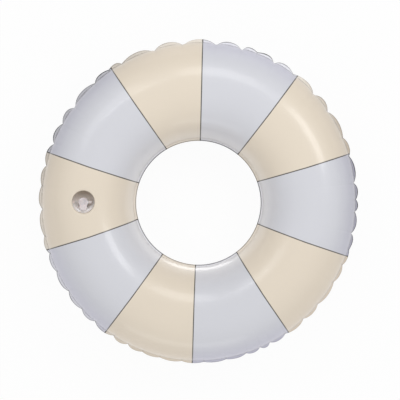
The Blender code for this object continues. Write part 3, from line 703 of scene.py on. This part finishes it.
def makeStem():
    # A tube with a rounded rim at its mouth, the root ring where the skirt ends, and a plain foot.
    m = moulded
    rim = m["stemRadius"] + m["rimOverhang"]
    ringTop, ringFoot = rootHeight + m["rootHeight"] / 2, rootHeight - m["rootHeight"] / 2
    foot = ringFoot - m["stemFoot"]
    outline = [
        (rim, stemTop), (rim, stemTop - m["rimHeight"]),
        (m["stemRadius"], stemTop - m["rimHeight"] - m["rimOverhang"]),
        (m["stemRadius"], ringTop), (m["rootRadius"], ringTop), (m["rootRadius"], ringFoot),
        (m["stemRadius"], ringFoot), (m["stemRadius"], foot),
        (m["stemBore"], foot), (m["stemBore"], stemTop),
    ]
    vinyl = milkyVinyl("stem vinyl", stemTint)
    piece = turned("valveStemTube", softened(outline, m["softEdge"]), vinyl, sharp=50)
    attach(piece, "stem")
    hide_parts("valve_stem")


def makeFlap():
    # A thin disc under the stem's foot, a little domed where the bore lets it sag: h = -c (1 - r^2/R^2).
    radius = moulded["stemBore"] + moulded["flapLap"]
    top = rootHeight - moulded["rootHeight"] / 2 - moulded["stemFoot"] - moulded["seatGap"]
    r = np.linspace(0, radius, 14)
    dome = -moulded["flapDome"] * (1 - (r / radius) ** 2)
    upper = np.stack([r, top + dome], axis=1)
    lower = np.stack([r, top + dome - moulded["flapThickness"]], axis=1)
    edge = softened([upper[-2], upper[-1], lower[-1], lower[-2]], moulded["flapEdge"], 5)[5:15]
    outline = np.concatenate([upper[:-1], edge, lower[:-1][::-1]])
    piece = turned("checkFlapDisc", outline, milkyVinyl("flap vinyl", stemTint), closed=False, sharp=60)
    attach(piece, "flap")
    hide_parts("check_flap")


def makePlug():
    # The head's outline round the axis is a circle with a round-ended tab towards -Y. The tab's sides
    # are w / |cos a| from the axis and its end is c |sin a| + sqrt(w^2 - c^2 cos^2 a). Every row of
    # the profile takes part of it, by its share, and the rows thin towards the tab's height there.
    m = moulded
    angle = bearings(m["plugSteps"])
    half = m["tabWidth"] / 2
    centre = m["headRadius"] + m["tabReach"] - half
    across, out = np.abs(np.cos(angle)), np.maximum(-np.sin(angle), 0)
    side = half / np.maximum(across, 1e-6)
    end = centre * out + np.sqrt(np.maximum(half**2 - (centre * across) ** 2, 0))
    reach = np.where(out > 0, np.where(side * out < centre, side, end), 0)
    extra = np.maximum(reach - m["headRadius"], 0)
    extra = (extra + np.roll(extra, 1) + np.roll(extra, -1)) / 3
    thin = smooth(extra / m["tabBlend"])
    foot, top = headFoot, headFoot + m["headHeight"]
    rim, corner, dish = m["headRadius"], m["headCorner"], m["headDish"]
    pin = m["stemBore"] - m["pinClearance"]
    tip, taper = foot - m["pinLength"], m["pinTaper"]
    hollow = pin - m["pinWall"]
    profile = np.array([       # radius, height, share of the tab
        (0, top - dish, 0), (rim * 0.62, top - dish, 0), (rim * 0.74, top, 0), (rim - corner, top, 0.9),
        (rim, top - corner, 1), (rim, foot + corner, 1), (rim - corner, foot, 0.9),
        (pin, foot, 0), (pin, tip + 2 * taper, 0), (pin - taper, tip, 0),
        (hollow - taper, tip, 0), (hollow, tip + 2 * taper, 0), (hollow, foot + corner, 0),
        (0, foot + corner, 0),
    ])
    count = 5       # points in each rounded corner
    flat = softened(profile[:, :2], m["softEdge"], count, closed=False)
    share = np.concatenate([profile[:1, 2], np.repeat(profile[1:-1, 2], count), profile[-1:, 2]])[:, None]
    radius = flat[:, :1] + share * extra
    halfway = foot + m["headHeight"] / 2
    squeeze = 1 - share * thin * (1 - m["tabHeight"] / m["headHeight"])
    height = np.where(share > 0, halfway + (flat[:, 1:] - halfway) * squeeze, flat[:, 1:])
    points = aboutAxis(radius, angle, height)
    quads = quadsBetween(len(flat), len(angle))
    piece = newPiece("valvePlugHead", points + mouth, quads, milkyVinyl("plug vinyl", plugTint), sharp=60)
    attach(piece, "plug")
    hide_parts("valve_plug")


def makeStrap():
    # A flat strip carried along a path: out from the stem, round half a circle and back to the head.
    # Its section is a rectangle with round corners, across the path and along y.
    m = moulded
    headMiddle = headFoot + m["headHeight"] / 2
    bendAt = m["headRadius"] + m["seatGap"] + m["strapStraight"]
    bend = m["strapBend"]
    turn = np.linspace(-pi / 2, pi / 2, 33)
    out = np.linspace(m["stemRadius"] - m["strapSunk"][0], bendAt, 9)[:-1]
    back = np.linspace(bendAt, m["headRadius"] - m["strapSunk"][1], 7)[1:]
    x = np.concatenate([out, bendAt + bend * np.cos(turn), back])
    z = np.concatenate([out * 0 - 2 * bend, bend * np.sin(turn) - bend, back * 0]) + headMiddle
    tangent = np.stack([np.gradient(x), np.gradient(z)], axis=1)
    tangent /= np.linalg.norm(tangent, axis=1, keepdims=True)
    across = np.stack([-tangent[:, 1], tangent[:, 0]], axis=1)
    wide, thick = m["strapWidth"] / 2, m["strapThickness"] / 2
    loop = softened([(-wide, -thick), (wide, -thick), (wide, thick), (-wide, thick)], m["softEdge"])
    rows = np.stack([x[:, None] + across[:, :1] * loop[None, :, 1], loop[None, :, 0] + 0 * x[:, None],
                     z[:, None] + across[:, 1:] * loop[None, :, 1]], axis=-1)
    ends = rows[[0, -1]].mean(axis=1, keepdims=True) + 0 * rows[[0, -1]]
    points = np.concatenate([ends[:1], rows, ends[1:]])
    quads = quadsBetween(len(points), len(loop))
    piece = newPiece("plugStrapLoop", points + mouth, quads, milkyVinyl("strap vinyl", strapTint), sharp=60)
    low, high = float(mouth[2] + headMiddle - 2 * bend), float(mouth[2] + headMiddle)
    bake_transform(piece)
    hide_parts("plug_strap")


for make in (makeBase, makeSkirt, makeStem, makeFlap, makePlug, makeStrap):
    make()
print("valve built")


stage = {
    "floorSize": 50.0, "floorShade": 0.80, "floorGlow": 0.95,
    "skyHorizon": 0.57, "skyRise": 0.24, "skyLean": -0.12,
    "pixel": 0.001553, "picture": 400,       # metres in a pixel of the picture, and its pixels each way
    "centre": (0.0025, 0.0034), "distance": 10.0, "sensor": 36,
}


def makeFloor():
    # A plain pale floor, which the camera and reflections see as a white backdrop with soft shadows.
    mesh = bpy.data.meshes.new("floor")
    half = stage["floorSize"] / 2
    corners = [(-half, -half, 0), (half, -half, 0), (half, half, 0), (-half, half, 0)]
    mesh.from_pydata(corners, [], [(0, 1, 2, 3)])
    floor = bpy.data.objects.new("floor", mesh)
    bpy.context.scene.collection.objects.link(floor)
    recipe = Recipe("floor", 0.9)
    recipe.set(Base_Color=(stage["floorShade"],) * 3 + (1,), Specular_IOR_Level=0.0)
    seen = recipe.rays("Camera", "Glossy", "Transmission")
    glow = recipe.node("ShaderNodeEmission", {}, {"Color": (1, 1, 1, 1), "Strength": 1.0})
    lit = Wire(recipe, recipe.shader.outputs[0])
    mixed = recipe.node("ShaderNodeMixShader", {}, {0: seen * stage["floorGlow"], 1: lit, 2: glow})
    recipe.tree.links.new(mixed.socket, recipe.tree.nodes["Material Output"].inputs["Surface"])
    mesh.materials.append(recipe.material)


def makeWorld():
    # The light of a direction (x, y, z) is horizon + rise z + lean y. The camera sees plain white.
    world = bpy.data.worlds.new("studio")
    bpy.context.scene.world = world
    world.use_nodes = True
    sky = Graph(world.node_tree)
    _, y, z = sky.split(sky.place("Generated"))
    light = z * stage["skyRise"] + y * stage["skyLean"] + stage["skyHorizon"]
    colour = sky.mix(sky.rays("Camera", "Transmission"), light, (1, 1, 1, 1))
    sky.feed(sky.tree.nodes["Background"].inputs["Color"], colour)


lamps = {       # where each soft box stands, its size and its power; it faces the ring's middle or a point
    "rightBox": {"at": (1.16, 0.67, 1.55), "size": (0.70, 0.55), "power": 5.5},
    "backBox": {"at": (0.23, 1.32, 1.55), "size": (0.90, 0.70), "power": 4.9},
    "leftBox": {"at": (-0.95, 0.95, 1.55), "size": (0.90, 0.70), "power": 2.9},
    "stripBox": {"at": (-0.29, 0.47, 0.83), "size": (0.30, 0.024), "power": 0.19},     # streaks on the tube
    "holeBox": {"at": (0.0, -0.040, 0.003), "size": (0.036, 0.04), "power": 0.0115,    # and inside the hole
                "towards": (0, -0.105, 0.09)},
    "fillBox": {"at": (-0.20, -1.90, 0.47), "size": (1.8, 0.5), "power": 3.0},
}


def makeLamps():
    # The camera sees none of the boxes. A box shines along its own -Z, so +Z is turned away from its aim.
    for name, lamp in lamps.items():
        data = bpy.data.lights.new(name, "AREA")
        data.shape = "RECTANGLE"
        data.size, data.size_y = lamp["size"]
        data.energy = lamp["power"]
        box = bpy.data.objects.new(name, data)
        box.location = lamp["at"]
        away = np.array(lamp["at"]) - np.array(lamp.get("towards", (0, 0, middle)))
        away /= np.linalg.norm(away)
        tilt = np.arccos(away[2])
        box.rotation_euler = (tilt, 0, np.arctan2(away[1], away[0]) + pi / 2)
        box.visible_camera = False
        bpy.context.scene.collection.objects.link(box)


def makeCamera():
    # A long lens straight above the ring, at the scale of the photograph.
    data = bpy.data.cameras.new("camera")
    data.sensor_width = stage["sensor"]
    data.lens = stage["sensor"] * stage["distance"] / (stage["picture"] * stage["pixel"])
    data.clip_end = 50
    camera = bpy.data.objects.new("camera", data)
    camera.location = (*stage["centre"], middle + stage["distance"])
    bpy.context.scene.collection.objects.link(camera)
    bpy.context.scene.camera = camera


makeFloor()
makeWorld()
makeLamps()
makeCamera()
bpy.context.scene.view_settings.view_transform = "Standard"
print("stage set")
